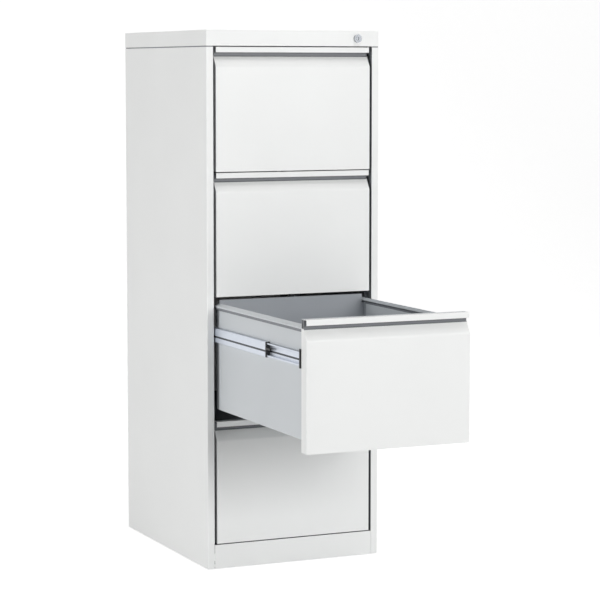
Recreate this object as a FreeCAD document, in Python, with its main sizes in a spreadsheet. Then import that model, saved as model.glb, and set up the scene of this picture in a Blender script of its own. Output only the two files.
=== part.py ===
"""Four-drawer steel suspension filing cabinet, with its third drawer pulled out.

Frame: +Z up, -Y towards the person at the drawers, X across. The floor is Z = 0, X = 0 is the middle of
the cabinet, and Y = 0 is halfway between the open drawer's face and the cabinet's back. Lengths are in mm.
Every piece is drawn from the cabinet's front plane as y = 0 and then set back by front_plane.
"""
import FreeCAD, Part
import math
import os
from types import SimpleNamespace

import Sketcher

DRAWERS = (1, 2, 3, 4)
OPEN_DRAWER = 3
NEAR = 1e-6

# Driving dimensions in millimetres, or degrees where the name says so
DIMENSIONS = {
    # Cabinet
    "height": 1320.0,
    "width": 462.0,
    "depth": 575.0,
    "panel_sheet": 0.9,
    "bend_radius": 2.0,
    "floor_gap": 2.0,
    # Top cover, which slips over the carcass
    "cover_height": 38.5,
    "cover_sheet": 1.0,
    "cover_fit": 0.3,
    # Side panels with their front stiles
    "stile_width": 18.4,
    "stile_return": 20.0,
    "rear_flange": 18.0,
    # Plinth, floor pan and back
    "plinth_height": 61.0,
    "plinth_flange": 16.0,
    "floor_drop": 4.0,
    "floor_flange": 22.0,
    "back_flange": 12.0,
    "panel_fit": 0.3,
    # Levelling feet
    "foot_radius": 15.0,
    "foot_height": 11.0,
    "foot_stem_radius": 4.0,
    "foot_stem_top": 68.0,
    "foot_inset_x": 36.0,
    "foot_inset_y": 70.0,
    "stem_fit": 0.2,
    # Uprights that carry the slides
    "upright_sheet": 1.2,
    "upright_depth": 17.4,
    "upright_width": 32.0,
    "upright_lip": 10.0,
    "upright_head": 52.0,
    "front_upright_setback": 37.0,
    "rear_upright_setback": 96.0,
    "hook_slot_width": 6.0,
    "hook_slot_height": 16.0,
    # Drawer fronts
    "front_gap": 2.6,
    "front_side_gap": 6.5,
    "front_sheet": 0.9,
    "front_depth": 28.0,
    "front_return": 14.0,
    "grip_drop": 47.0,
    "grip_slant_height": 26.0,
    "grip_depth": 17.0,
    "grip_bend": 9.0,
    "strip_height": 13.0,
    "strip_setback": 2.0,
    # Drawer bodies
    "tray_sheet": 0.8,
    "tray_lift": 27.0,
    "tray_drop": 14.0,
    "tray_length": 516.0,
    "tray_bend": 3.0,
    "rail_height": 12.5,
    "rail_fall": 5.0,
    "rail_out": 6.0,
    "rail_in": 7.0,
    "rail_hook": 8.0,
    "back_gap": 1.0,
    "back_drop": 6.0,
    "tray_back_flange": 10.0,
    "tray_back_fit": 0.2,
    "liner_flange": 12.0,
    # Ball-bearing slides, measured from the upright's face (out) and from the slide's centre (up)
    "slide_thickness": 12.7,
    "slide_height": 45.7,
    "slide_drop": 90.0,
    "slide_sheet": 1.2,
    "slide_bend": 2.4,
    "lip_chamfer": 1.1,
    "ball_play": 0.3,
    "outer_ball_radius": 1.6,
    "inner_ball_radius": 1.4,
    "cabinet_lip_out": 9.4,
    "cabinet_lip_drop": 4.0,
    "middle_web_out": 2.0,
    "middle_lip_out": 10.9,
    "middle_lip_drop": 3.8,
    "drawer_lip_out": 3.6,
    "drawer_lip_rise": 2.6,
    "cabinet_slide_length": 517.0,
    "middle_slide_start": 41.0,
    "middle_slide_length": 500.0,
    "drawer_slide_start": 34.4,
    "drawer_slide_length": 505.0,
    # Ball cages, where they stand with the drawer shut
    "cage_sheet": 0.7,
    "outer_cage_width": 4.8,
    "inner_cage_width": 4.2,
    "cage_hole_play": 0.2,
    "cage_ball_inset": 12.0,
    "outer_cage_start": 218.0,
    "outer_cage_length": 140.0,
    "inner_cage_start": 142.0,
    "inner_cage_length": 290.0,
    # Plastic ends of the slides
    "cap_length": 4.5,
    "cap_wall": 1.6,
    "cap_play": 0.3,
    "cap_arm_length": 22.0,
    "cap_arm_height": 5.0,
    "lever_length": 5.0,
    "lever_reach": 21.0,
    "lever_hook_length": 18.0,
    "lever_hook_height": 2.8,
    # How far the open drawer stands out in each stage of its slides
    "outer_rest": 350.0,
    "inner_rest": 180.0,
    # Lock in the cover's skirt
    "lock_from_edge": 59.0,
    "lock_collar_radius": 10.0,
    "lock_collar_length": 6.0,
    "lock_shank_radius": 8.5,
    "lock_shank_end": 21.0,
    "lock_plug_radius": 6.0,
    "lock_plug_proud": 1.0,
    "lock_plug_end": 24.5,
    "lock_running_fit": 0.05,
    "key_slot_width": 1.6,
    "key_slot_height": 8.0,
    "key_slot_depth": 6.0,
    "cam_sheet": 2.0,
    "cam_throw": 10.0,
    "cam_half_width": 5.0,
    "cam_pin_radius": 2.0,
    "cam_pin_play": 0.5,
    "cam_rest_angle": 45.0,
    # Lock rail and lock bar
    "rail_depth": 25.0,
    "rail_setback": 2.3,
    "rail_rise": 2.0,
    "lock_bar_sheet": 2.0,
    "lock_bar_width": 10.0,
    "lock_bar_inset": 4.0,
    "lock_bar_setback": 30.0,
    "lock_bar_foot": 96.0,
    "lock_head_margin": 5.0,
    "latch_reach": 9.0,
    "latch_gap": 1.5,
    "latch_rise": 60.0,
    "latch_height": 14.0,
    "latch_setback": 34.0,
    "latch_foot": 16.0,
    "tab_play": 3.0,
    "tab_height": 12.0,
    "guide_height": 12.0,
    "guide_sheet": 0.9,
    "guide_play": 1.0,
    "guide_rise": 190.0,
}


class Measure:
    """A length that knows its number and the sheet formula that gives it."""

    def __init__(self, value, formula):
        self.value = value
        self.formula = formula

    def combine(self, other, sign, result):
        return Measure(result, f"({self.formula} {sign} {measure(other).formula})")

    def __add__(self, other):
        return self.combine(other, "+", self.value + measure(other).value)

    def __sub__(self, other):
        return self.combine(other, "-", self.value - measure(other).value)

    def __mul__(self, other):
        return self.combine(other, "*", self.value * measure(other).value)

    def __truediv__(self, other):
        return self.combine(other, "/", self.value / measure(other).value)

    def __radd__(self, other):
        return measure(other) + self

    def __rsub__(self, other):
        return measure(other) - self

    def __rmul__(self, other):
        return measure(other) * self

    def __neg__(self):
        return measure(0) - self

    def root(self):
        return Measure(math.sqrt(self.value), f"sqrt({self.formula})")


def measure(number):
    return number if isinstance(number, Measure) else Measure(float(number), f"({number:g})")


def make_sheet(document):
    """Put the driving dimensions in a spreadsheet and hand them back as measures."""
    sheet = document.addObject("Spreadsheet::Sheet", "Sizes")
    measures = SimpleNamespace()
    for row, (alias, value) in enumerate(DIMENSIONS.items(), start=1):
        sheet.set(f"A{row}", alias)
        sheet.set(f"B{row}", f"{value:g}")
        sheet.setAlias(f"B{row}", alias)
        setattr(measures, alias, Measure(value, f"Sizes.{alias}"))
    return measures


document = FreeCAD.newDocument("FilingCabinet")
s = make_sheet(document)
document.recompute()

# Places that several pieces share
front_plane = (s.outer_rest + s.inner_rest - s.depth) / 2
half_width = s.width / 2
wall_face = half_width - s.panel_sheet
stile_edge = half_width - s.stile_width
step_in = s.cover_sheet + s.cover_fit
carcass_depth = s.depth - step_in
pitch = (s.height - s.cover_height - s.plinth_height - s.front_gap) / len(DRAWERS)
front_height = pitch - s.front_gap
front_half = stile_edge - s.front_side_gap
flat_top = front_height - s.grip_drop
slant_top = flat_top + s.grip_slant_height
upright_face = wall_face - s.upright_depth
tray_half = upright_face - s.slide_thickness
tray_start = s.front_depth + s.front_sheet
tray_top = front_height - s.tray_drop
slide_rise = front_height - s.slide_drop
floor_top = s.plinth_height - s.floor_drop
back_inner = carcass_depth - 2 * s.panel_sheet
lock_x = half_width - s.lock_from_edge
lock_z = s.height - s.cover_height / 2
latch_swing = 2 * s.cam_throw * math.sin(math.radians(DIMENSIONS["cam_rest_angle"]))
pin_middle = lock_z + latch_swing / 2
lock_head_half = s.cam_pin_radius + s.cam_pin_play + s.lock_head_margin
lock_bar_edge = wall_face - s.lock_bar_inset - s.lock_bar_width

# Heights in the slide's section, from its centre upwards
outer_track = s.slide_height / 2 - s.slide_sheet
outer_ball_line = outer_track - s.ball_play - s.outer_ball_radius
middle_half = outer_ball_line - s.outer_ball_radius - s.ball_play
inner_track = middle_half - s.slide_sheet
inner_ball_line = inner_track - s.ball_play - s.inner_ball_radius
drawer_half = inner_ball_line - s.inner_ball_radius - s.ball_play
outer_ball_out = s.cabinet_lip_out / 2
inner_ball_out = (s.drawer_lip_out + s.middle_lip_out) / 2


def bind(thing, path, length):
    thing.setExpression(path, measure(length).formula)


def new_body(name):
    return document.addObject("PartDesign::Body", name)


def origin_feature(body, role):
    return next(item for item in body.Origin.OriginFeatures if item.Role == role)


def draw(body, plane, start, outline, circles=()):
    """Sketch a closed outline, and any circles (x, y, radius), at a place along the plane's axis."""
    sketch = body.newObject("Sketcher::SketchObject", f"{body.Name}_sketch")
    sketch.AttachmentSupport = (origin_feature(body, f"{plane}_Plane"), [""])
    sketch.MapMode = "FlatFace"
    bind(sketch, "AttachmentOffset.Base.z", -measure(start) if plane == "XZ" else start)
    outline = [(measure(x), measure(y)) for x, y in outline]
    corners = [FreeCAD.Vector(x.value, y.value, 0) for x, y in outline]
    for corner, following in zip(corners, corners[1:] + corners[:1]):
        sketch.addGeometry(Part.LineSegment(corner, following), False)
    for index, (x, y) in enumerate(outline):
        sketch.addConstraint(Sketcher.Constraint("Coincident", index, 2, (index + 1) % len(outline), 1))
        pin_point(sketch, index, 1, x, y)
    for x, y, radius in circles:
        x, y, radius = measure(x), measure(y), measure(radius)
        circle = Part.Circle(FreeCAD.Vector(x.value, y.value, 0), FreeCAD.Vector(0, 0, 1), radius.value)
        index = sketch.addGeometry(circle, False)
        pin_point(sketch, index, 3, x, y)
        number = sketch.addConstraint(Sketcher.Constraint("Radius", index, radius.value))
        sketch.setExpression(f"Constraints[{number}]", radius.formula)
    return sketch


def pin_point(sketch, index, end, x, y):
    """Hold one point of a sketch at its two measured distances from the origin."""
    for kind, length in (("DistanceX", x), ("DistanceY", y)):
        number = sketch.addConstraint(Sketcher.Constraint(kind, -1, 1, index, end, length.value))
        sketch.setExpression(f"Constraints[{number}]", length.formula)


def pad(body, plane, outline, start, length, circles=()):
    """Extrude an outline from start, towards the positive end of the axis square to the plane."""
    feature = body.newObject("PartDesign::Pad", f"{body.Name}_pad")
    feature.Profile = draw(body, plane, start, outline, circles)
    bind(feature, "Length", length)
    feature.Reversed = plane == "XZ"
    body.Tip = feature
    return feature


def cut(body, plane, outline, start, length, circles=()):
    """Cut an outline out of the body, from start towards the positive end of the axis."""
    feature = body.newObject("PartDesign::Pocket", f"{body.Name}_cut")
    feature.Profile = draw(body, plane, start, outline, circles)
    bind(feature, "Length", length)
    feature.Reversed = plane != "XZ"
    body.Tip = feature
    return feature


def revolve(body, plane, axis, outline):
    """Turn an outline once round an axis of its own sketch."""
    feature = body.newObject("PartDesign::Revolution", f"{body.Name}_turned")
    sketch = draw(body, plane, 0, outline)
    feature.Profile = sketch
    feature.ReferenceAxis = (sketch, [axis])
    feature.Angle = 360
    body.Tip = feature
    return feature


def repeat_upwards(body, feature, spacing, count):
    """Repeat a feature up the body at an even spacing."""
    pattern = body.newObject("PartDesign::LinearPattern", f"{body.Name}_row")
    pattern.Originals = [feature]
    pattern.Direction = (origin_feature(body, "Z_Axis"), [""])
    bind(pattern, "Length", spacing * (count - 1))
    pattern.Occurrences = count
    body.Tip = pattern
    return pattern


def soften(body, axis, corners, size, kind="Fillet"):
    """Round, or chamfer, the straight edges along an axis that pass through the corners of a section."""
    document.recompute()
    base = body.Tip
    across = {"X": ("y", "z"), "Y": ("x", "z"), "Z": ("x", "y")}[axis]
    names = []
    for number, edge in enumerate(base.Shape.Edges, start=1):
        ends = [vertex.Point for vertex in edge.Vertexes]
        for first, second in corners:
            wanted = (measure(first).value, measure(second).value)
            if len(ends) == 2 and all(
                abs(getattr(end, name) - value) < 1e-4 for end in ends for name, value in zip(across, wanted)
            ):
                names.append(f"Edge{number}")
    feature = body.newObject(f"PartDesign::{kind}", f"{body.Name}_{kind.lower()}")
    feature.Base = (base, names)
    bind(feature, "Radius" if kind == "Fillet" else "Size", size)
    body.Tip = feature
    return feature


def polygon(x, y, inner_radius, count):
    """Corners of a regular polygon whose sides stand inner_radius from its middle."""
    reach = inner_radius * (1 / math.cos(math.pi / count))
    turns = [2 * math.pi * (index + 0.5) / count for index in range(count)]
    return [(x + reach * math.cos(turn), y + reach * math.sin(turn)) for turn in turns]


def bend(body, axis, path, sheet, corners, radius, hollow_side=False, kind="Fillet"):
    """Round the outside of a folded sheet at the numbered corners of its path, or both of its faces."""
    outline = folded(path, sheet)
    thickness = sheet if sheet.value > 0 else -sheet
    outside, inside = [], []
    for corner in corners:
        faces = [outline[corner], outline[len(outline) - 1 - corner]]
        middle = [(measure(a).value + measure(b).value) / 2 for a, b in zip(path[corner - 1], path[corner + 1])]
        faces.sort(key=lambda face: math.dist([measure(part).value for part in face], middle))
        inside.append(faces[0])
        outside.append(faces[1])
    soften(body, axis, outside, radius, kind)
    if hollow_side:
        soften(body, axis, inside, radius - thickness, kind)


def rectangle(low_x, low_y, high_x, high_y):
    return [(low_x, low_y), (high_x, low_y), (high_x, high_y), (low_x, high_y)]


def unit_left(first, second):
    """The direction to the left of a segment, in plain numbers where it runs along an axis."""
    run, rise = measure(second[0]) - first[0], measure(second[1]) - first[1]
    if abs(run.value) < NEAR:
        return (-math.copysign(1, rise.value), 0)
    if abs(rise.value) < NEAR:
        return (0, math.copysign(1, run.value))
    length = (run * run + rise * rise).root()
    return (-(rise / length), run / length)


def folded(path, sheet):
    """Outline of a sheet folded along a path: on the path's left, or on its right if sheet is negative."""
    sides = [unit_left(first, second) for first, second in zip(path, path[1:])]
    before, after = sides[:1] + sides, sides + sides[-1:]
    far_face = []
    for (x, y), (ax, ay), (bx, by) in zip(path, before, after):
        share = 1 + ax * bx + ay * by
        far_face.append((x + sheet * ((ax + bx) / share), y + sheet * ((ay + by) / share)))
    return path + far_face[::-1]


def mirrored(source):
    """The same piece on the cabinet's other side."""
    twin = document.addObject("Part::Mirroring", f"{source.Name}_twin")
    twin.Source = source
    twin.Normal = FreeCAD.Vector(1, 0, 0)
    return twin


def turned_over(source):
    """The same piece below the slide's centre."""
    twin = document.addObject("Part::Mirroring", f"{source.Name}_below")
    twin.Source = source
    twin.Normal = FreeCAD.Vector(0, 0, 1)
    return twin


def together(name, pieces):
    group = document.addObject("Part::Compound", f"{name}_set")
    group.Links = pieces
    return group


nodes = []


def place(piece, name, x=0, y=0, z=0):
    """Name a finished piece and set it in the cabinet."""
    piece.Label = name
    bind(piece, "Placement.Base.x", x)
    bind(piece, "Placement.Base.y", front_plane + y)
    bind(piece, "Placement.Base.z", z)
    nodes.append(piece)


def side_panel(name, side):
    """One sheet folded into a front stile with its return, the side, and a rear flange.

    Its top edge is joggled inwards under the cover, so that the cover's skirt stands flush with it.
    """
    body = new_body(name)
    sheet = side * s.panel_sheet
    shoulder = s.height - s.cover_height - s.front_gap
    ledge = [
        (side * stile_edge, measure(0)),
        (side * half_width, measure(0)),
        (side * half_width, back_inner),
    ]
    outer, inner = panel_path(side, measure(0)), panel_path(side, step_in)
    pad(body, "XY", folded(outer, sheet), s.floor_gap, shoulder - s.floor_gap)
    pad(body, "XY", folded(ledge, sheet + side * step_in), shoulder - s.panel_sheet, s.panel_sheet)
    bend(body, "Z", outer, sheet, (1, 2, 3), s.bend_radius)
    pad(body, "XY", folded(inner, sheet), shoulder - s.panel_sheet, s.height - step_in - shoulder + s.panel_sheet)
    place(body, name)


def panel_path(side, inset):
    """The side panel's outside in plan, with its front and its side set in."""
    return [
        (side * stile_edge, s.stile_return),
        (side * stile_edge, inset),
        (side * (half_width - inset), inset),
        (side * (half_width - inset), carcass_depth),
        (side * (half_width - s.rear_flange), carcass_depth),
    ]


def back_panel():
    body = new_body("back_panel")
    reach = wall_face - step_in - s.panel_fit
    outer = carcass_depth - s.panel_sheet
    path = [(reach, outer - s.back_flange), (reach, outer), (-reach, outer), (-reach, outer - s.back_flange)]
    pad(body, "XY", folded(path, s.panel_sheet), floor_top, s.height - step_in - floor_top)
    place(body, "back_panel")


def top_cover():
    """A pan turned upside down, with the hole for the lock in its front skirt."""
    body = new_body("top_cover")
    skirt_foot = s.height - s.cover_height
    outside = rectangle(-half_width, 0, half_width, s.depth)
    inside = rectangle(-half_width + s.cover_sheet, s.cover_sheet,
                       half_width - s.cover_sheet, s.depth - s.cover_sheet)
    pad(body, "XY", outside, skirt_foot, s.cover_height)
    soften(body, "Z", outside, s.bend_radius)
    cut(body, "XY", inside, skirt_foot, s.cover_height - s.cover_sheet)
    hole = (lock_x, lock_z, s.lock_shank_radius + s.stem_fit)
    cut(body, "XZ", [], 0, s.cover_sheet, [hole])
    place(body, "top_cover")


def plinth_panel():
    """The channel across the front below the drawers, between the stiles."""
    body = new_body("plinth_panel")
    path = [
        (s.plinth_flange, s.plinth_height),
        (measure(0), s.plinth_height),
        (measure(0), s.floor_gap),
        (s.plinth_flange, s.floor_gap),
    ]
    reach = stile_edge - s.panel_fit
    pad(body, "YZ", folded(path, s.panel_sheet), -reach, 2 * reach)
    place(body, "plinth_panel")


def foot_places():
    """Where the front and rear levelling feet stand, from the front plane."""
    return [s.foot_inset_y, carcass_depth - s.foot_inset_y]


def bottom_panel():
    """The floor pan, folded down at the front and back, with a hexagonal hole over each foot for its nut."""
    body = new_body("bottom_panel")
    front = s.stile_return + s.panel_fit
    back = back_inner - s.panel_fit
    path = [
        (front, floor_top - s.floor_flange),
        (front, floor_top),
        (back, floor_top),
        (back, floor_top - s.floor_flange),
    ]
    reach = wall_face - s.panel_fit
    pad(body, "YZ", folded(path, -s.panel_sheet), -reach, 2 * reach)
    foot_x = half_width - s.foot_inset_x
    for side in (-1, 1):
        for y in foot_places():
            hole = polygon(side * foot_x, y, s.foot_stem_radius + s.stem_fit, 6)
            cut(body, "XY", hole, floor_top - 2 * s.panel_sheet, 3 * s.panel_sheet)
    place(body, "bottom_panel")


def levelling_feet():
    """Four turned feet, each a cone on a stem that passes through the floor pan."""
    profile = [
        (0, 0),
        (s.foot_radius, 0),
        (s.foot_stem_radius, s.foot_height),
        (s.foot_stem_radius, s.foot_stem_top),
        (0, s.foot_stem_top),
    ]
    feet = []
    for number, y in enumerate(foot_places(), start=1):
        foot = new_body(f"foot_{number}")
        revolve(foot, "XZ", "V_Axis", profile)
        bind(foot, "Placement.Base.x", half_width - s.foot_inset_x)
        bind(foot, "Placement.Base.y", y)
        feet += [foot, mirrored(foot)]
    place(together("levelling_feet", feet), "levelling_feet")


def lock_rail():
    """The channel behind the cover's skirt, which ties the stiles and carries the lock."""
    body = new_body("lock_rail")
    low = s.height - s.cover_height + s.rail_rise
    high = s.height - step_in
    front = s.rail_setback
    path = [(front + s.rail_depth, low), (front, low), (front, high), (front + s.rail_depth, high)]
    reach = stile_edge - s.panel_fit
    pad(body, "YZ", folded(path, -s.panel_sheet), -reach, 2 * reach)
    hole = (lock_x, lock_z, s.lock_shank_radius + s.stem_fit)
    cut(body, "XZ", [], front - s.panel_sheet, 3 * s.panel_sheet, [hole])
    place(body, "lock_rail")


def upright_pair(name, setback):
    """Two lipped channels with a column of slots for the hooks of the slides."""
    body = new_body(f"{name}_right")
    path = [
        (wall_face, setback + s.upright_lip),
        (wall_face, setback),
        (upright_face, setback),
        (upright_face, setback + s.upright_width),
        (wall_face, setback + s.upright_width),
        (wall_face, setback + s.upright_width - s.upright_lip),
    ]
    pad(body, "XY", folded(path, -s.upright_sheet), floor_top, s.height - s.upright_head - floor_top)
    middle = setback + s.upright_width / 2
    lowest = s.plinth_height + s.front_gap + slide_rise
    slot = rectangle(
        middle - s.hook_slot_width / 2, lowest - s.hook_slot_height / 2,
        middle + s.hook_slot_width / 2, lowest + s.hook_slot_height / 2)
    slot_cut = cut(body, "YZ", slot, upright_face, s.upright_sheet)
    repeat_upwards(body, slot_cut, pitch, len(DRAWERS))
    return [body, mirrored(body)]


def slide_uprights():
    """The front and rear uprights that every slide hooks into."""
    front = upright_pair("front_upright", s.front_upright_setback)
    rear = upright_pair("rear_upright", carcass_depth - s.rear_upright_setback)
    place(together("slide_uprights", front + rear), "slide_uprights")


def lock_housing():
    """The fixed barrel: a collar on the skirt and a shank through the skirt and the rail."""
    body = new_body("lock_housing")
    bore = s.lock_plug_radius + s.lock_running_fit
    face = -s.lock_collar_length
    profile = [
        (face, bore),
        (face, s.lock_collar_radius),
        (0, s.lock_collar_radius),
        (0, s.lock_shank_radius),
        (s.lock_shank_end, s.lock_shank_radius),
        (s.lock_shank_end, bore),
    ]
    revolve(body, "YZ", "H_Axis", profile)
    place(body, "lock_housing", x=lock_x, z=lock_z)


def lock_cylinder():
    """The plug that turns in the barrel, with its key slot."""
    body = new_body("lock_cylinder")
    face = -s.lock_collar_length - s.lock_plug_proud
    profile = [(face, 0), (face, s.lock_plug_radius), (s.lock_plug_end, s.lock_plug_radius), (s.lock_plug_end, 0)]
    revolve(body, "YZ", "H_Axis", profile)
    slot = rectangle(-s.key_slot_width / 2, -s.key_slot_height / 2, s.key_slot_width / 2, s.key_slot_height / 2)
    cut(body, "XZ", slot, face, s.key_slot_depth)
    place(body, "lock_cylinder", x=lock_x, z=lock_z)


def lock_cam():
    """The arm on the plug's tail, whose pin drives the lock bar. It points up while unlocked."""
    body = new_body("lock_cam")
    corner = s.cam_half_width / 2
    arm = [
        (-s.cam_half_width, -corner),
        (-corner, -s.cam_half_width),
        (s.cam_throw + corner, -s.cam_half_width),
        (s.cam_throw + s.cam_half_width, -corner),
        (s.cam_throw + s.cam_half_width, corner),
        (s.cam_throw + corner, s.cam_half_width),
        (-corner, s.cam_half_width),
        (-s.cam_half_width, corner),
    ]
    pad(body, "XZ", arm, s.lock_plug_end, s.cam_sheet)
    pin_start = s.lock_plug_end + s.cam_sheet
    pin_length = s.lock_bar_setback + s.lock_bar_sheet + s.cam_pin_play - pin_start
    pad(body, "XZ", [], pin_start, pin_length, [(s.cam_throw, 0, s.cam_pin_radius)])
    rise = FreeCAD.Rotation(FreeCAD.Vector(0, 1, 0), -DIMENSIONS["cam_rest_angle"])
    body.Placement = FreeCAD.Placement(FreeCAD.Vector(), rise)
    place(body, "lock_cam", x=lock_x, z=lock_z)


def lock_bar():
    """A flat bar down the front right upright."""
    body = new_body("lock_bar")
    shape = rectangle(lock_bar_edge, s.lock_bar_foot, lock_bar_edge + s.lock_bar_width,
                      pin_middle + lock_head_half)
    pad(body, "XZ", shape, s.lock_bar_setback, s.lock_bar_sheet)
    place(body, "lock_bar")


def lock_bar_head():
    """The plate welded to the lock bar's top, with a window in which the cam's pin works."""
    body = new_body("lock_bar_head")
    head_end = lock_x + latch_swing / 2 - lock_head_half
    shape = rectangle(head_end, pin_middle - lock_head_half, lock_bar_edge, pin_middle + lock_head_half)
    pad(body, "XZ", shape, s.lock_bar_setback, s.lock_bar_sheet)
    pin_half = s.cam_pin_radius + s.cam_pin_play
    window = rectangle(lock_x + latch_swing / 2 - pin_half, pin_middle - pin_half,
                       lock_x + s.cam_throw + pin_half, pin_middle + pin_half)
    cut(body, "XZ", window, s.lock_bar_setback, s.lock_bar_sheet)
    place(body, "lock_bar_head")


def lock_bar_tabs():
    """One tab for each drawer, welded to the lock bar's edge. It drops in front of the drawer's latch."""
    tabs = []
    for number in DRAWERS:
        tab = new_body(f"lock_bar_tab_{number}")
        low = (s.plinth_height + s.front_gap + s.latch_rise + s.latch_height + s.latch_gap
               + pitch * (number - 1))
        pad(tab, "XZ", rectangle(tray_half + s.tab_play, low, lock_bar_edge, low + s.tab_height),
            s.lock_bar_setback, s.lock_bar_sheet)
        tabs.append(tab)
    place(together("lock_bar_tabs", tabs), "lock_bar_tabs")


def lock_bar_guides():
    """Clips on the front upright that hold the lock bar, one to a drawer."""
    inner = lock_bar_edge - s.guide_play - s.guide_sheet
    outer = lock_bar_edge + s.lock_bar_width + s.guide_play + s.guide_sheet
    bridge = s.lock_bar_setback - s.ball_play - s.guide_sheet
    foot = s.front_upright_setback
    path = [(outer, foot), (outer, bridge), (inner, bridge), (inner, foot)]
    clips = []
    for number in DRAWERS:
        clip = new_body(f"lock_bar_guide_{number}")
        start = s.plinth_height + s.guide_rise + pitch * (number - 1)
        pad(clip, "XY", folded(path, -s.guide_sheet), start, s.guide_height)
        clips.append(clip)
    place(together("lock_bar_guides", clips), "lock_bar_guides")


def front_panel(name):
    """The drawer's face: flat below, leaning back into the grip, and hooked over at the top."""
    body = new_body(name)
    under = front_height - s.front_sheet
    strip_back = s.strip_setback + s.front_sheet
    path = [
        (s.front_return, measure(0)),
        (measure(0), measure(0)),
        (measure(0), flat_top),
        (s.grip_depth, slant_top),
        (s.grip_depth, under),
        (strip_back, under),
        (strip_back, front_height - s.strip_height),
    ]
    reach = front_half - s.front_sheet
    pad(body, "YZ", folded(path, -s.front_sheet), -reach, 2 * reach)
    flange = [(0, 0), (s.front_depth, 0), (s.front_depth, slant_top), (s.grip_depth, slant_top), (0, flat_top)]
    for start in (-front_half, reach):
        pad(body, "YZ", flange, start, s.front_sheet)
    bend(body, "X", path, -s.front_sheet, [2], s.grip_bend, hollow_side=True)
    return body


def front_liner(name):
    """The sheet behind the face, which closes the front and carries the tray."""
    body = new_body(name)
    back = s.front_depth + s.front_sheet
    path = [
        (back - s.liner_flange, s.tray_lift),
        (back, s.tray_lift),
        (back, front_height),
        (s.grip_depth + s.front_sheet, front_height),
    ]
    reach = front_half - s.front_sheet
    pad(body, "YZ", folded(path, s.front_sheet), -reach, 2 * reach)
    return body


def tray(name):
    """Sides and floor from one sheet. Each side ends in a hollow rail that suspension files hang on."""
    body = new_body(f"{name}_shell")
    hook_foot = tray_top - s.rail_hook
    rail_foot = tray_top - s.rail_height
    half = [
        (tray_half - s.rail_in, hook_foot),
        (tray_half - s.rail_in, tray_top),
        (tray_half + s.rail_out, tray_top - s.rail_fall),
        (tray_half + s.rail_out, rail_foot),
        (tray_half, rail_foot),
        (tray_half, s.tray_lift),
    ]
    path = half + [(-x, z) for x, z in reversed(half)]
    pad(body, "XZ", folded(path, -s.tray_sheet), tray_start, s.tray_length)
    bend(body, "Y", path, -s.tray_sheet, (len(half) - 1, len(half)), s.tray_bend, hollow_side=True)
    return together(name, [body, latch(f"{name}_latch")])


def latch(name):
    """The bracket on the tray's right side that the lock bar's tab stands in front of."""
    body = new_body(name)
    path = [
        (tray_half, s.latch_setback + s.latch_foot),
        (tray_half, s.latch_setback),
        (tray_half + s.latch_reach, s.latch_setback),
    ]
    pad(body, "XY", folded(path, s.lock_bar_sheet), s.latch_rise, s.latch_height)
    return body


def tray_back(name):
    """The folded sheet that closes the tray, narrower between its rails and notched round its bends."""
    body = new_body(name)
    reach = tray_half - s.tray_sheet - s.tray_back_fit
    outer = tray_start + s.tray_length
    path = [
        (reach, outer - s.tray_back_flange),
        (reach, outer),
        (-reach, outer),
        (-reach, outer - s.tray_back_flange),
    ]
    foot = s.tray_lift + s.tray_sheet
    top = front_height - s.back_drop
    pad(body, "XY", folded(path, s.tray_sheet), foot, top - foot)
    neck = tray_half - s.rail_in - s.tray_back_fit
    shoulder = tray_top - s.rail_height - s.back_gap
    for notch in (rectangle(neck, shoulder, reach, top),
                  rectangle(-reach, shoulder, -neck, top),
                  rectangle(reach - s.tray_bend, foot, reach, foot + s.tray_bend),
                  rectangle(-reach, foot, s.tray_bend - reach, foot + s.tray_bend)):
        cut(body, "XZ", notch, outer - s.tray_back_flange, s.tray_back_flange)
    return body


def from_upright(out, up):
    """A point of the slide's section: so far out from the upright's face, so far above the centre."""
    return (upright_face - out, measure(up))


def member(name, upper_path, start, length):
    """A rolled channel of a slide, symmetrical about its centre, and its twin on the other side."""
    body = new_body(f"{name}_right")
    lower_path = [(out, -up) for out, up in reversed(upper_path)]
    path = [from_upright(out, up) for out, up in upper_path + lower_path]
    pad(body, "XZ", folded(path, -s.slide_sheet), start, length)
    bend(body, "Y", path, -s.slide_sheet, (2, 3), s.slide_bend)
    bend(body, "Y", path, -s.slide_sheet, (1, 4), s.lip_chamfer, kind="Chamfer")
    return together(name, [body, mirrored(body)])


def cabinet_slides(name):
    """The outer channels, hooked to the uprights."""
    lip = s.slide_height / 2 - s.cabinet_lip_drop
    path = [(s.cabinet_lip_out, lip), (s.cabinet_lip_out, s.slide_height / 2), (measure(0), s.slide_height / 2)]
    return member(name, path, s.drawer_slide_start + s.cap_play, s.cabinet_slide_length)


def middle_slides(name):
    """The channels between the two rows of balls."""
    lip = middle_half - s.middle_lip_drop
    path = [(s.middle_lip_out, lip), (s.middle_lip_out, middle_half), (s.middle_web_out, middle_half)]
    return member(name, path, s.middle_slide_start, s.middle_slide_length)


def drawer_slides(name):
    """The inner channels, fixed to the tray's sides with their hollow towards the cabinet."""
    web = s.slide_thickness - s.slide_sheet
    flange = drawer_half - s.slide_sheet
    path = [(s.drawer_lip_out, drawer_half + s.drawer_lip_rise), (s.drawer_lip_out, flange), (web, flange)]
    return member(name, path, s.drawer_slide_start, s.drawer_slide_length)


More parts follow.
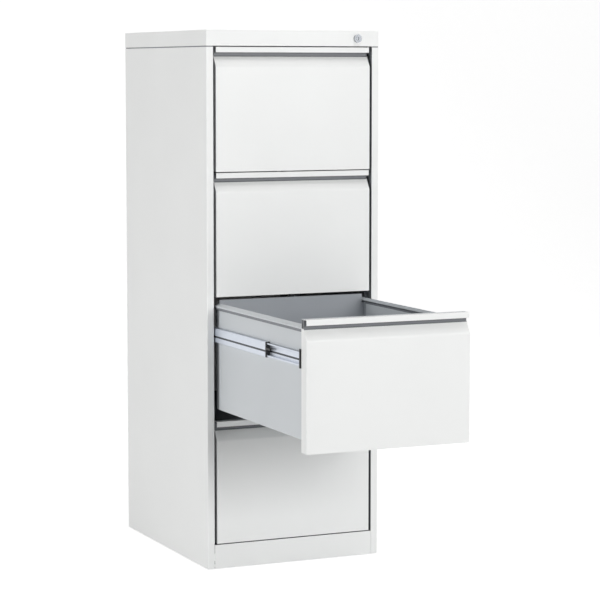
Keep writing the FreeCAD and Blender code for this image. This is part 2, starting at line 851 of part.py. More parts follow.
def ball(name, radius, x, y, z):
    """A steel ball in 26 flat faces: a cube with its edges cut back as far as its corners allow."""
    body = new_body(name)
    cube = body.newObject("PartDesign::AdditiveBox", f"{name}_cube")
    for side in ("Length", "Width", "Height"):
        bind(cube, side, 2 * radius)
    document.recompute()
    cut_back = body.newObject("PartDesign::Chamfer", f"{name}_edges")
    cut_back.Base = (cube, [f"Edge{number}" for number in range(1, 13)])
    bind(cut_back, "Size", radius * (2 - math.sqrt(2)))
    body.Tip = cut_back
    bind(body, "Placement.Base.x", x - radius)
    bind(body, "Placement.Base.y", y - radius)
    bind(body, "Placement.Base.z", z - radius)
    return body


def ball_cages(name, start, length, width, ball_line, ball_out, ball_radius):
    """Four strips with loose balls in their holes, above and below each slide's channels."""
    middle = upright_face - ball_out
    ball_y = [start + s.cage_ball_inset, start + length - s.cage_ball_inset]
    strip = new_body(f"{name}_strip")
    shape = rectangle(middle - width / 2, start, middle + width / 2, start + length)
    pad(strip, "XY", shape, ball_line - s.cage_sheet / 2, s.cage_sheet)
    pieces = [strip]
    for number, y in enumerate(ball_y, start=1):
        hole = polygon(middle, y, ball_radius + s.cage_hole_play, 6)
        cut(strip, "XY", hole, ball_line - s.cage_sheet, 2 * s.cage_sheet)
        pieces.append(ball(f"{name}_ball_{number}", ball_radius, middle, y, ball_line))
    upper = together(f"{name}_upper", pieces)
    slide = together(f"{name}_slide", [upper, turned_over(upper)])
    return together(name, [slide, mirrored(slide)])


def slide_end_caps(name):
    """Plastic ends on the middle channels, reaching into the hollow of the drawer's channel."""
    body = new_body(f"{name}_right")
    start = s.middle_slide_start - s.cap_length
    clear = s.drawer_lip_out - s.cap_play
    rim = middle_half - s.cap_wall
    plug = drawer_half - s.slide_sheet - s.cap_play
    core = s.slide_thickness - s.slide_sheet - s.cap_play
    upper = [
        (core, plug),
        (clear, plug),
        (clear, rim),
        (s.middle_lip_out, rim),
        (s.middle_lip_out, middle_half),
        (s.middle_web_out, middle_half),
    ]
    lower = [(out, -up) for out, up in reversed(upper)]
    outline = [from_upright(out, up) for out, up in upper + lower]
    pad(body, "XZ", outline, start, s.cap_length)
    arm = [from_upright(out, up) for out, up in (
        (clear, 0), (s.middle_web_out, 0), (s.middle_web_out, s.cap_arm_height), (clear, s.cap_arm_height))]
    pad(body, "XZ", arm, start - s.cap_arm_length, s.cap_arm_length)
    return together(name, [body, mirrored(body)])


def release_levers(name):
    """Plastic levers across the front ends of the drawer's channels, with a short hook above and below."""
    body = new_body(f"{name}_right")
    start = s.drawer_slide_start - s.lever_length
    outer = s.drawer_lip_out
    face = s.slide_thickness - s.cap_play
    bar = [from_upright(out, up) for out, up in (
        (outer, -s.lever_reach), (face, -s.lever_reach), (face, s.lever_reach), (outer, s.lever_reach))]
    pad(body, "XZ", bar, start, s.lever_length)
    root = s.cabinet_lip_out + s.cap_play
    for low in (s.lever_reach - s.lever_hook_height, -s.lever_reach):
        hook = [from_upright(out, up) for out, up in (
            (root, low), (face, low), (face, low + s.lever_hook_height), (root, low + s.lever_hook_height))]
        pad(body, "XZ", hook, start, s.lever_hook_length)
    return together(name, [body, mirrored(body)])


def drawer(number):
    """One drawer with its slides. Each stage of the open drawer's slides is drawn out by its own length."""
    outer = s.outer_rest if number == OPEN_DRAWER else measure(0)
    inner = s.inner_rest if number == OPEN_DRAWER else measure(0)
    foot = s.plinth_height + s.front_gap + pitch * (len(DRAWERS) - number)
    centre = foot + slide_rise
    label = f"drawer_{number}"
    for make, part in (
        (front_panel, "front_panel"), (front_liner, "front_liner"), (tray, "tray"), (tray_back, "tray_back"),
    ):
        place(make(f"{label}_{part}"), f"{label}_{part}", y=-(outer + inner), z=foot)
    for make, part, out in (
        (cabinet_slides, "cabinet_slides", measure(0)),
        (middle_slides, "middle_slides", outer),
        (slide_end_caps, "slide_end_caps", outer),
        (drawer_slides, "drawer_slides", outer + inner),
        (release_levers, "release_levers", outer + inner),
    ):
        place(make(f"{label}_{part}"), f"{label}_{part}", y=-out, z=centre)
    outer_cages = ball_cages(f"{label}_outer_ball_cages", s.outer_cage_start, s.outer_cage_length, s.outer_cage_width,
                             outer_ball_line, outer_ball_out, s.outer_ball_radius)
    place(outer_cages, f"{label}_outer_ball_cages", y=-(outer / 2), z=centre)
    inner_cages = ball_cages(f"{label}_inner_ball_cages", s.inner_cage_start, s.inner_cage_length, s.inner_cage_width,
                             inner_ball_line, inner_ball_out, s.inner_ball_radius)
    place(inner_cages, f"{label}_inner_ball_cages", y=-(outer + inner / 2), z=centre)


def build():
    side_panel("left_side_panel", -1)
    side_panel("right_side_panel", 1)
    back_panel()
    top_cover()
    bottom_panel()
    plinth_panel()
    levelling_feet()
    lock_rail()
    slide_uprights()
    lock_housing()
    lock_cylinder()
    lock_cam()
    lock_bar()
    lock_bar_head()
    lock_bar_tabs()
    lock_bar_guides()
    for number in DRAWERS:
        drawer(number)
    document.recompute()


def check():
    """Stop if any object failed to compute or any piece is not a sound shape."""
    for thing in document.Objects:
        if "Invalid" in thing.State or "Error" in thing.State:
            raise RuntimeError(f"{thing.Name} ({thing.Label}) failed: {thing.State}")
    for piece in nodes:
        if piece.Shape.isNull() or not piece.Shape.isValid():
            raise RuntimeError(f"{piece.Label} has no sound shape")


def export():
    os.makedirs("parts", exist_ok=True)
    for piece in nodes:
        piece.Shape.exportStep(f"parts/{piece.Label}.step")
        box = piece.Shape.BoundBox
        print(f"{piece.Label}: {len(piece.Shape.Solids)} solids, {box.XLength:.1f} x {box.YLength:.1f}"
              f" x {box.ZLength:.1f} mm")


build()
check()
export()
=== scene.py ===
# %% [markdown]
# # A four-drawer steel filing cabinet
#
# The cabinet's sheets, slides and lock come ready-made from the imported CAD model, in metres and in the places
# where they belong. What is left for Blender is how they look: the powder coat, the zinc, the plastic, the
# small bends that catch the light, the rows of balls in the slides, and the light and the camera.

# %% Load the frame
import bmesh
import bpy
import math
from mathutils import Matrix, Vector


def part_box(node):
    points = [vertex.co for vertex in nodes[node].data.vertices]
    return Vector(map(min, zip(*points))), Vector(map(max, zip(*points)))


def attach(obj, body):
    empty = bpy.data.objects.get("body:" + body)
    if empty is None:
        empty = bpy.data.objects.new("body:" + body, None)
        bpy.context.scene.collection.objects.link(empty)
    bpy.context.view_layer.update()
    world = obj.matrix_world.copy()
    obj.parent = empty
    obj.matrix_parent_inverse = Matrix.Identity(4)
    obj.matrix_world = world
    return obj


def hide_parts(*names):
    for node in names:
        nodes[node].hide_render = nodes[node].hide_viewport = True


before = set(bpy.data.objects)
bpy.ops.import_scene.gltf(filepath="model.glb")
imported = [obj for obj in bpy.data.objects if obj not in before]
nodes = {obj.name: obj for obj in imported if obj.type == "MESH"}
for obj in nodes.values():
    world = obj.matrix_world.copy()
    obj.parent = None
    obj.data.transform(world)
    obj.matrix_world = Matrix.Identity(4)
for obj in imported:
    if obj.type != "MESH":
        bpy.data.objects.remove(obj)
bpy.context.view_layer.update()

# %% [markdown]
# ## Small helpers
#
# Colours are written as sRGB hex values, because that is how a colour chart or a paint maker gives them.
# Blender's shaders work in linear light, so one function turns them over. Another adds a shader node with its
# settings and links in one call, which keeps each material readable from top to bottom.

# %% Helpers for colours and shader nodes
MM = 0.001


def linear(hex_colour):
    """An sRGB hex colour as linear red, green, blue and alpha."""
    channels = [int(hex_colour[i:i + 2], 16) / 255 for i in (1, 3, 5)]
    curve = [c / 12.92 if c <= 0.04045 else ((c + 0.055) / 1.055) ** 2.4 for c in channels]
    return (*curve, 1.0)


def add(material, kind, settings=None, **inputs):
    """Add a shader node. Settings are its properties; each input is a value or another node's output."""
    node = material.node_tree.nodes.new(kind)
    for name, value in (settings or {}).items():
        setattr(node, name, value)
    for name, value in inputs.items():
        key = int(name[1:]) if name[0] == "_" else name.replace("_", " ")
        if isinstance(value, bpy.types.NodeSocket):
            material.node_tree.links.new(value, node.inputs[key])
        else:
            node.inputs[key].default_value = value
    return node


def new_material(name):
    """An empty node material and its output node."""
    material = bpy.data.materials.new(name)
    material.use_nodes = True
    material.node_tree.nodes.clear()
    return material, material.node_tree.nodes.new("ShaderNodeOutputMaterial")


print("white paint in linear light:", [round(c, 3) for c in linear("#F2F3F2")])

# %% [markdown]
# ## Powder-coated sheet steel
#
# The carcass and the drawer fronts are cold-rolled sheet with a polyester powder coat, baked at about 180
# degrees. The melted powder flows into a skin of 0.06 to 0.1 mm with a faint orange peel: low waves 1 to 3 mm
# apart that blur reflections a little. It could be painted as one flat colour, but then a large panel looks
# like paper. Two noise textures do the work: a fine one for the orange peel in the bump, and a very wide,
# weak one for the slight difference in gloss across a panel.
#
# The insides of the carcass, the wall behind each grip and the fold below each drawer's rail are painted in a
# dark grey: painted shade, which stands in for the shade that falls in these gaps and folds. A box a little
# smaller than the piece tells the shader what lies inside, and a level band, which comes back at each drawer,
# does it for the rails.

# %% Where shade is painted
CARCASS_INSIDE = ((-229.9, 229.9), (-21.3, 549.0), (0.0, 1318.5))
GRIP_INSIDE = ((-205.2, 205.2), (15.5, 40.0), (0.0, 1320.0))
FRONT_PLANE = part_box("left_side_panel")[0][1] / MM


def moved_along_y(ranges, distance):
    """The same box, further back by a distance."""
    x, (near, far), z = ranges
    return (x, (near + distance, far + distance), z)


def inside_box(material, place, ranges):
    """1 inside a box and 0 outside it, from its three ranges in millimetres."""
    axes = add(material, "ShaderNodeSeparateXYZ", Vector=place)
    inside = None
    for axis, (low, high) in enumerate(ranges):
        along = axes.outputs[axis]
        above = add(material, "ShaderNodeMath", {"operation": "GREATER_THAN"}, _0=along, _1=low * MM)
        below = add(material, "ShaderNodeMath", {"operation": "LESS_THAN"}, _0=along, _1=high * MM)
        both = add(material, "ShaderNodeMath", {"operation": "MULTIPLY"}, _0=above.outputs[0],
                   _1=below.outputs[0])
        if inside:
            both = add(material, "ShaderNodeMath", {"operation": "MULTIPLY"}, _0=inside, _1=both.outputs[0])
        inside = both.outputs[0]
    return inside


def drawer_band(material, place, foot, height):
    """1 on a level band that comes back at each drawer's height, its foot given for the lowest drawer."""
    axes = add(material, "ShaderNodeSeparateXYZ", Vector=place)
    lift = add(material, "ShaderNodeMath", {"operation": "SUBTRACT"}, _0=axes.outputs[2], _1=foot * MM)
    above_foot = add(material, "ShaderNodeMath", {"operation": "FLOORED_MODULO"}, _0=lift.outputs[0],
                     _1=DRAWER_PITCH * MM)
    return add(material, "ShaderNodeMath", {"operation": "LESS_THAN"}, _0=above_foot.outputs[0],
               _1=height * MM).outputs[0]


DRAWER_PITCH = (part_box("drawer_1_tray")[0][2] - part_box("drawer_2_tray")[0][2]) / MM
# Painted shade in a band below each drawer's rail: its foot below the rail's top, and its height
FOLD_BELOW_RAIL_TOP, FOLD_HEIGHT = 16.5, 8.0
rail_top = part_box("drawer_4_tray")[1][2] / MM
SHADE_UNDER_RAIL = (rail_top - FOLD_BELOW_RAIL_TOP, FOLD_HEIGHT)
print("front plane at", round(FRONT_PLANE, 1), "mm, drawers", round(DRAWER_PITCH, 2), "mm apart")

# %% Powder coat
def powder_coat(name, colour, shade, roughness, painted_shade=None, ranges=None, band=None):
    """A coat that drifts between two tones, with a tone of painted shade inside a box or in a band."""
    material, output = new_material(name)
    place = add(material, "ShaderNodeTexCoord").outputs["Object"]
    # Orange peel: waves about 2.5 mm apart, drawn a little coarser than life so that they show at all.
    peel = add(material, "ShaderNodeTexNoise", Vector=place, Scale=1 / (2.5 * MM), Detail=2.0, Roughness=0.5)
    # The coat's thickness drifts over a hand's width, and the tone with it by about one part in a hundred.
    drift = add(material, "ShaderNodeTexNoise", Vector=place, Scale=1 / (180 * MM), Detail=1.0)
    tone = add(material, "ShaderNodeMix", {"data_type": "RGBA"}, _0=drift.outputs["Fac"],
               _6=linear(colour), _7=linear(shade))
    coat = tone.outputs[2]
    # Painted shade: inside the box or the band the coat turns to a dark tone, where shade falls in gaps and
    # folds
    if painted_shade:
        in_painted_shade = drawer_band(material, place, *band) if band else inside_box(material, place, ranges)
        coat = add(material, "ShaderNodeMix", {"data_type": "RGBA"}, _0=in_painted_shade, _6=coat,
                   _7=linear(painted_shade)).outputs[2]
    gloss = add(material, "ShaderNodeMapRange", Value=drift.outputs["Fac"],
                To_Min=roughness - 0.03, To_Max=roughness + 0.04)
    bump = add(material, "ShaderNodeBump", Strength=0.10, Distance=0.05 * MM, Height=peel.outputs["Fac"])
    skin = add(material, "ShaderNodeBsdfPrincipled", Base_Color=coat, Roughness=gloss.outputs[0],
               IOR=1.5, Normal=bump.outputs[0])
    material.node_tree.links.new(skin.outputs[0], output.inputs["Surface"])
    return material


# Each paint is its tone, the tone where the coat is thicker, and its roughness.
WHITE = ("#F2F3F2", "#EEEFEE", 0.42)
GREY = ("#D1D5D8", "#CBCFD2", 0.45)
# A darker copy of the grey for the drawer's back: painted shade for the shade it lies in inside the carcass
GREY_IN_PAINTED_SHADE = ("#A4A8AD", "#989CA2", 0.50)
# The tones of painted shade for the insides, the walls behind the grips and the band under the rails
WHITE_PAINTED_SHADE, GREY_PAINTED_SHADE = "#6A6D71", "#7B7E83"
OPEN_DRAWER = 3
open_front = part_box(f"drawer_{OPEN_DRAWER}_front_panel")[0][1] / MM
carcass_coat = powder_coat("carcass_white_powder_coat", *WHITE, WHITE_PAINTED_SHADE, CARCASS_INSIDE)
shut_front_coat = powder_coat("shut_front_white_powder_coat", *WHITE, WHITE_PAINTED_SHADE,
                              moved_along_y(GRIP_INSIDE, FRONT_PLANE))
open_front_coat = powder_coat("open_front_white_powder_coat", *WHITE, WHITE_PAINTED_SHADE,
                              moved_along_y(GRIP_INSIDE, open_front))
grey_coat = powder_coat("light_grey_powder_coat", *GREY)
tray_coat = powder_coat("drawer_body_grey_powder_coat", *GREY, GREY_PAINTED_SHADE, band=SHADE_UNDER_RAIL)
back_coat_in_painted_shade = powder_coat("drawer_back_grey_in_painted_shade", *GREY_IN_PAINTED_SHADE)
print("coats:", carcass_coat.name, shut_front_coat.name, open_front_coat.name, grey_coat.name,
      tray_coat.name, back_coat_in_painted_shade.name)

# %% [markdown]
# ## Zinc-plated rolled steel
#
# The slides, uprights and the lock bar are rolled or pressed from steel strip and zinc-plated with a clear
# blue passivation. Rolling leaves fine streaks along the length, and the plating adds a cool, slightly cloudy
# shine. The streaks are a noise stretched in the direction of rolling: Y for the slides, Z for the uprights
# and the lock bar. It drives roughness, because a streak is a difference in gloss far more than in colour. The
# slides also have a narrow groove rolled in a little below their middle. A cut mesh would change the CAD piece,
# so the groove's shade is painted: a dark band in Z that comes back at each drawer's height.

# %% Where the groove runs
GROOVE_BELOW_MIDDLE, GROOVE_HEIGHT = 3.3, 4.4
low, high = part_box("drawer_4_drawer_slides")
slide_middle = (low[2] + high[2]) / 2 / MM
GROOVE = (slide_middle - GROOVE_BELOW_MIDDLE - GROOVE_HEIGHT / 2, GROOVE_HEIGHT)
print("lowest groove at", round(GROOVE[0], 1), "mm")

# %% Zinc plate
def zinc_plate(name, colour, shade, roughness, along, groove=None):
    """Cloudy zinc with rolling streaks. The pattern's scale is least in the direction of rolling."""
    material, output = new_material(name)
    place = add(material, "ShaderNodeTexCoord").outputs["Object"]
    stretched = add(material, "ShaderNodeMapping", Vector=place, Scale=along)
    # Streaks about 0.6 mm wide and some 60 mm long
    streak = add(material, "ShaderNodeTexNoise", Vector=stretched.outputs[0], Scale=1 / (0.6 * MM),
                 Detail=3.0)
    cloud = add(material, "ShaderNodeTexNoise", Vector=place, Scale=1 / (25 * MM), Detail=2.0)
    tone = add(material, "ShaderNodeMix", {"data_type": "RGBA"}, _0=cloud.outputs["Fac"],
               _6=linear(colour), _7=linear(shade))
    steel = tone.outputs[2]
    if groove:
        # Painted shade: a dark band in Z where the groove lies
        in_groove_shade = drawer_band(material, place, *GROOVE)
        steel = add(material, "ShaderNodeMix", {"data_type": "RGBA"}, _0=in_groove_shade, _6=steel,
                    _7=linear(groove)).outputs[2]
    gloss = add(material, "ShaderNodeMapRange", Value=streak.outputs["Fac"],
                To_Min=roughness - 0.08, To_Max=roughness + 0.10)
    bump = add(material, "ShaderNodeBump", Strength=0.12, Distance=0.02 * MM, Height=streak.outputs["Fac"])
    skin = add(material, "ShaderNodeBsdfPrincipled", Base_Color=steel, Metallic=1.0,
               Roughness=gloss.outputs[0], Normal=bump.outputs[0])
    material.node_tree.links.new(skin.outputs[0], output.inputs["Surface"])
    return material


ALONG_Y, ALONG_Z = (1, 0.01, 1), (1, 1, 0.01)
# The slide zinc carries the groove's painted shade in a dark colour
slide_zinc = zinc_plate("zinc_plated_slide_steel", "#D9DEE6", "#C9CFDA", 0.36, ALONG_Y, groove="#3F4348")
pressed_zinc = zinc_plate("zinc_plated_pressed_steel", "#C7CBD1", "#B9BEC6", 0.42, ALONG_Z)
cage_steel = zinc_plate("bright_cage_strip", "#B4B7BC", "#9FA3A9", 0.38, ALONG_Y)
print("zinc:", slide_zinc.name, pressed_zinc.name, cage_steel.name)

# %% [markdown]
# ## Balls, plastic and chrome
#
# The balls are ground bearing steel with a film of grease. The ends of the slides and the levers are moulded
# in black acetal or nylon, from a spark-eroded mould, which leaves a fine matt grain. The lock is die-cast
# zinc with a satin chrome plate. Plating hides nothing, so it only gets the soft waves of the polish below it.

# %% Ball steel, moulded plastic and chrome plate
def smooth_metal(name, colour, shade, roughness, wave_mm):
    """Ground or plated metal, its tone and gloss changing in soft waves."""
    material, output = new_material(name)
    place = add(material, "ShaderNodeTexCoord").outputs["Object"]
    wave = add(material, "ShaderNodeTexNoise", Vector=place, Scale=1 / (wave_mm * MM), Detail=1.0)
    tone = add(material, "ShaderNodeMix", {"data_type": "RGBA"}, _0=wave.outputs["Fac"],
               _6=linear(colour), _7=linear(shade))
    gloss = add(material, "ShaderNodeMapRange", Value=wave.outputs["Fac"],
                To_Min=roughness * 0.8, To_Max=roughness * 1.3)
    skin = add(material, "ShaderNodeBsdfPrincipled", Base_Color=tone.outputs[2], Metallic=1.0,
               Roughness=gloss.outputs[0])
    material.node_tree.links.new(skin.outputs[0], output.inputs["Surface"])
    return material


def moulded_plastic(name, colour, shade, roughness):
    """Matt plastic with the fine grain of its mould."""
    material, output = new_material(name)
    place = add(material, "ShaderNodeTexCoord").outputs["Object"]
    # Spark-eroded grain, 0.15 mm in life and drawn at 0.4 mm so that it shows
    grain = add(material, "ShaderNodeTexNoise", Vector=place, Scale=1 / (0.4 * MM), Detail=2.0)
    tone = add(material, "ShaderNodeMix", {"data_type": "RGBA"}, _0=grain.outputs["Fac"],
               _6=linear(colour), _7=linear(shade))
    bump = add(material, "ShaderNodeBump", Strength=0.3, Distance=0.03 * MM, Height=grain.outputs["Fac"])
    skin = add(material, "ShaderNodeBsdfPrincipled", Base_Color=tone.outputs[2], Roughness=roughness,
               IOR=1.48, Normal=bump.outputs[0])
    material.node_tree.links.new(skin.outputs[0], output.inputs["Surface"])
    return material


ball_steel = smooth_metal("ground_ball_steel", "#C6C7C9", "#B5B6B9", 0.14, 3.0)
lock_chrome = smooth_metal("chrome_plated_lock", "#9DA0A4", "#8D9095", 0.22, 4.0)
black_acetal = moulded_plastic("black_moulded_acetal", "#17181A", "#202124", 0.5)
print("small parts:", ball_steel.name, lock_chrome.name, black_acetal.name)

# %% [markdown]
# ## Which piece is made of what
#
# Every CAD node gets one of the finishes above. The record's material slots would give a first answer, but
# the lock bar and the uprights are pressed while the slides are rolled, so the choice is made by name here.

# %% Give each CAD node its finish
DRAWERS = (1, 2, 3, 4)
FINISH = {
    "left_side_panel": carcass_coat, "right_side_panel": carcass_coat, "back_panel": carcass_coat,
    "top_cover": carcass_coat, "bottom_panel": carcass_coat, "plinth_panel": carcass_coat,
    "lock_rail": carcass_coat,
    "slide_uprights": pressed_zinc, "lock_cam": pressed_zinc, "lock_bar": pressed_zinc,
    "lock_bar_head": pressed_zinc, "lock_bar_tabs": pressed_zinc, "lock_bar_guides": pressed_zinc,
    "levelling_feet": black_acetal, "lock_housing": lock_chrome, "lock_cylinder": lock_chrome,
}
DRAWER_FINISH = {
    "front_panel": shut_front_coat, "front_liner": grey_coat, "tray": tray_coat, "tray_back": back_coat_in_painted_shade,
    "cabinet_slides": slide_zinc, "middle_slides": slide_zinc, "drawer_slides": slide_zinc,
    "slide_end_caps": black_acetal, "release_levers": black_acetal,
    "outer_ball_cages": cage_steel, "inner_ball_cages": cage_steel,
}
for number in DRAWERS:
    for part, material in DRAWER_FINISH.items():
        FINISH[f"drawer_{number}_{part}"] = material
FINISH[f"drawer_{OPEN_DRAWER}_front_panel"] = open_front_coat
for name, material in FINISH.items():
    mesh = nodes[name].data
    mesh.materials.clear()
    mesh.materials.append(material)
print("finished nodes:", len(FINISH), "of", len(nodes))

# %% [markdown]
# ## Soft edges on folded sheet
#
# No edge on a folded and painted sheet is knife-sharp: the paint draws back from it and rounds it to a few
# tenths of a millimetre, and that thin bright or dark line is what tells the eye that it sees steel. A bevel
# modifier on the CAD mesh does this without touching the mesh itself. It is held well under half of the
# sheet's thickness.

# %% Bevel the visible sheets
PAINT_RADIUS = 0.3
BEVELLED = ["left_side_panel", "right_side_panel", "top_cover", "plinth_panel"]
BEVELLED += [f"drawer_{number}_{part}" for number in DRAWERS for part in ("front_panel", "front_liner")]
for name in BEVELLED:
    bevel = nodes[name].modifiers.new("paint_radius", "BEVEL")
    bevel.width = PAINT_RADIUS * MM
    bevel.segments = 2
    bevel.limit_method = "ANGLE"
    bevel.angle_limit = math.radians(40)
print("bevelled:", len(BEVELLED))

# %% [markdown]
# ## Ball cages
#
# The CAD model carries two balls in each strip, enough to hold the slide. A real cage for a slide of this
# length holds about ten in each strip, 12 to 25 mm apart. They are drawn here as one mesh for each cage: a
# thin strip with round holes and a ball in each hole. The strip is made cell by cell, each cell being a
# square with a round hole, because that gives clean quads with no boolean.

# %% A strip with holes and balls
CAGE_SHEET, HOLE_PLAY = 0.7, 0.15
AROUND = 16


def add_strip(bm, centre, width, length, pitch, ball_radius):
    """A strip along Y with a row of round holes, and a ball in each."""
    sheet = CAGE_SHEET * MM
    hole_radius = ball_radius + HOLE_PLAY * MM
    count = int(length / pitch)
    start = centre.y - count * pitch / 2
    for cell in range(count):
        middle = Vector((centre.x, start + (cell + 0.5) * pitch, centre.z))
        rings = []
        for level in (-sheet / 2, sheet / 2):
            inner, outer = [], []
            for step in range(AROUND):
                turn = 2 * math.pi * (step + 0.5) / AROUND
                c, s = math.cos(turn), math.sin(turn)
                grow = 1 / max(abs(c), abs(s))
                on_hole = Vector((c * hole_radius, s * hole_radius, level))
                on_cell = Vector((c * grow * width / 2, s * grow * pitch / 2, level))
                inner.append(bm.verts.new(middle + on_hole))
                outer.append(bm.verts.new(middle + on_cell))
            rings.append((inner, outer))
        (low_in, low_out), (high_in, high_out) = rings
        for step in range(AROUND):
            after = (step + 1) % AROUND
            bm.faces.new((high_in[step], high_out[step], high_out[after], high_in[after]))
            bm.faces.new((low_out[step], low_in[step], low_in[after], low_out[after]))
            bm.faces.new((low_in[step], high_in[step], high_in[after], low_in[after]))
            bm.faces.new((high_out[step], low_out[step], low_out[after], high_out[after]))
        ball = bmesh.ops.create_uvsphere(bm, u_segments=16, v_segments=10, radius=ball_radius,
                                         matrix=Matrix.Translation(middle))
        for vertex in ball["verts"]:
            for face in vertex.link_faces:
                face.material_index = 1
                face.smooth = True
    return count


print("strip:", CAGE_SHEET, "mm thick, each hole in", AROUND, "steps")

# %% A cage with its balls on each body
STRIP_WIDTH = {"outer": 4.8, "inner": 4.2}
BALL_RADIUS = {"outer": 1.6, "inner": 1.4}
BALL_PITCH = {"outer": 14, "inner": 24}
WELD_DISTANCE = 0.001


def ball_cage(number, kind):
    """The strips above and below on both sides of one drawer, in place of the CAD cage."""
    name, node = f"{kind}_cage_with_balls_{number}", f"drawer_{number}_{kind}_ball_cages"
    body = f"{kind}_cages_{number}"
    ball_radius, width = BALL_RADIUS[kind] * MM, STRIP_WIDTH[kind] * MM
    low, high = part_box(node)
    bm = bmesh.new()
    ball_z = high[2] - ball_radius
    middle_z = (high[2] + low[2]) / 2
    x = high[0] - width / 2
    count = 0
    for side in (-1, 1):
        for rise in (-1, 1):
            centre = Vector((side * x, (low[1] + high[1]) / 2, middle_z + rise * (ball_z - middle_z)))
            count += add_strip(bm, centre, width, high[1] - low[1], BALL_PITCH[kind] * MM, ball_radius)
    bmesh.ops.remove_doubles(bm, verts=bm.verts, dist=WELD_DISTANCE * MM)
    mesh = bpy.data.meshes.new(name)
    bm.to_mesh(mesh)
    bm.free()
    mesh.materials.append(cage_steel)
    mesh.materials.append(ball_steel)
    piece = bpy.data.objects.new(name, mesh)
    bpy.context.scene.collection.objects.link(piece)
    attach(piece, body)
    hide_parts(node)
    return count


balls = sum(ball_cage(number, kind) for number in DRAWERS for kind in ("outer", "inner"))
print("balls:", balls)

# %% [markdown]
# ## Floor and backdrop
#
# The photograph is a shop picture on pure white. The floor is one large pale sheet that curves up behind, so
# that no horizon shows. It could be left out for a white world alone, but then the cabinet would float. The
# sheet is white to the camera through Light Path, with its diffuse part kept so that the cabinet still throws
# a soft shadow on it.

# %% Floor sheet
def sweep_floor(name, width, near, far, rise, radius, steps=12):
    """A sheet that runs level along Y, then bends up into a backdrop."""
    profile = [(near, 0.0), (far - radius, 0.0)]
    for step in range(1, steps + 1):
        turn = math.radians(90 * step / steps)
        profile.append((far - radius + radius * math.sin(turn), radius - radius * math.cos(turn)))
    profile.append((far, rise))
    mesh = bpy.data.meshes.new(name)
    points = [(side * width / 2, y, z) for y, z in profile for side in (-1, 1)]
    faces = [(2 * i, 2 * i + 1, 2 * i + 3, 2 * i + 2) for i in range(len(profile) - 1)]
    mesh.from_pydata(points, [], faces)
    for polygon in mesh.polygons:
        polygon.use_smooth = True
    sheet = bpy.data.objects.new(name, mesh)
    bpy.context.scene.collection.objects.link(sheet)
    return sheet


def seen_directly(material):
    """1 where the camera sees it straight, in a reflection or through glass, and 0 where it lights."""
    ray = add(material, "ShaderNodeLightPath")
    mirrored = add(material, "ShaderNodeMath", {"operation": "MAXIMUM"}, _0=ray.outputs["Is Camera Ray"],
                   _1=ray.outputs["Is Glossy Ray"])
    return add(material, "ShaderNodeMath", {"operation": "MAXIMUM"}, _0=mirrored.outputs[0],
               _1=ray.outputs["Is Transmission Ray"]).outputs[0]


def paper_white(name):
    """White paper to the camera and in reflections, with a share of it left to receive the shadow."""
    material, output = new_material(name)
    paper = add(material, "ShaderNodeBsdfDiffuse", Color=linear("#E6E6E6"))
    glow = add(material, "ShaderNodeEmission", Color=linear("#FFFFFF"), Strength=0.80)
    shadowed = add(material, "ShaderNodeBsdfDiffuse", Color=linear("#C0C0C0"))
    lit = add(material, "ShaderNodeAddShader", _0=glow.outputs[0], _1=shadowed.outputs[0])
    mix = add(material, "ShaderNodeMixShader", _0=seen_directly(material), _1=paper.outputs[0],
              _2=lit.outputs[0])
    material.node_tree.links.new(mix.outputs[0], output.inputs["Surface"])
    return material


floor = sweep_floor("studio_floor", width=16.0, near=-7.0, far=6.0, rise=7.0, radius=2.5)
floor.data.materials.append(paper_white("studio_paper"))
print("floor:", [round(v, 2) for v in floor.dimensions])

# %% [markdown]
# ## Light
#
# The light is plain: a low, even white world and four large soft lamps. A bright world alone would light
# every face alike and flatten the folds. The key lamp stands in front, little higher than the cabinet, so
# that the open drawer shades the top of the front below it and the shade fades downwards. The one overhead
# stands forward, so that it lights the slanted grips and the top. The other two light the sides, each a step
# less than the fronts.

# %% World
WORLD_LIGHT, WORLD_SEEN = 0.20, 1.0
world = bpy.data.worlds.new("studio_world")
bpy.context.scene.world = world
world.use_nodes = True
world.node_tree.nodes.clear()
sky_out = world.node_tree.nodes.new("ShaderNodeOutputWorld")
strength = add(world, "ShaderNodeMix", {"data_type": "FLOAT"}, _0=seen_directly(world), _2=WORLD_LIGHT,
               _3=WORLD_SEEN)
sky = add(world, "ShaderNodeBackground", Color=linear("#FFFFFF"), Strength=strength.outputs[0])
world.node_tree.links.new(sky.outputs[0], sky_out.inputs["Surface"])
print("world:", world.name, "gives", WORLD_LIGHT, "and shows", WORLD_SEEN)

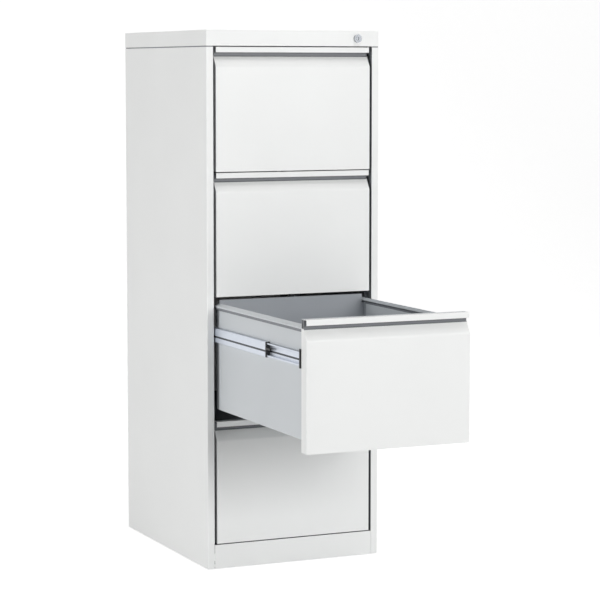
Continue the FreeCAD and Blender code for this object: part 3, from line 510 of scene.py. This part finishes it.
# %% Lamps
def soft_lamp(name, place, target, size, watts):
    """An area lamp that faces its target."""
    data = bpy.data.lights.new(name, "AREA")
    data.shape = "RECTANGLE"
    data.size, data.size_y = size
    data.energy = watts
    lamp = bpy.data.objects.new(name, data)
    lamp.location = place
    lamp.rotation_euler = (Vector(target) - Vector(place)).to_track_quat("-Z", "Y").to_euler()
    bpy.context.scene.collection.objects.link(lamp)
    return lamp


lamps = [
    soft_lamp("key_lamp", (0.9, -5.2, 1.7), (0.0, -0.3, 0.75), (2.0, 1.6), 131),
    soft_lamp("fill_lamp", (-4.2, -0.3, 0.8), (0.0, 0.0, 0.8), (1.6, 1.2), 74),
    soft_lamp("right_fill_lamp", (3.4, 0.9, 2.9), (0.0, 0.2, 0.6), (2.2, 2.0), 62),
    soft_lamp("overhead_lamp", (0.2, -0.9, 3.4), (0.0, -0.1, 1.2), (1.5, 1.2), 18),
]
print("lamps:", [lamp.data.energy for lamp in lamps], "W")

# %% [markdown]
# ## Camera
#
# The place and the angles come from fitting the modelled cabinet's corners and gaps to the photograph's
# straight edges. The picture was taken from some five metres away, at the height of the top drawer, turned by
# about 24 degrees. A small shift keeps the cabinet in the frame without tilting the camera further.

# %% Camera
FOCAL_PX, PICTURE_PX = 2240.0, 600
YAW, PITCH = math.radians(24.22), math.radians(5.09)
CAMERA_PLACE = (-2.245, -5.0495, 1.222)
camera_data = bpy.data.cameras.new("photo_camera")
camera_data.sensor_width = 36.0
camera_data.lens = FOCAL_PX / PICTURE_PX * camera_data.sensor_width
camera_data.shift_y = -0.05
camera_data.clip_end = 100.0
camera = bpy.data.objects.new("photo_camera", camera_data)
bpy.context.scene.collection.objects.link(camera)
forward = Vector((math.sin(YAW) * math.cos(PITCH), math.cos(YAW) * math.cos(PITCH), -math.sin(PITCH)))
right = Vector((math.cos(YAW), -math.sin(YAW), 0.0))
up = right.cross(forward)
turn = Matrix((right, up, -forward)).transposed()
camera.matrix_world = Matrix.Translation(CAMERA_PLACE) @ turn.to_4x4()
bpy.context.scene.camera = camera
bpy.context.scene.view_settings.view_transform = "Standard"
print("lens:", round(camera_data.lens, 1), "mm")
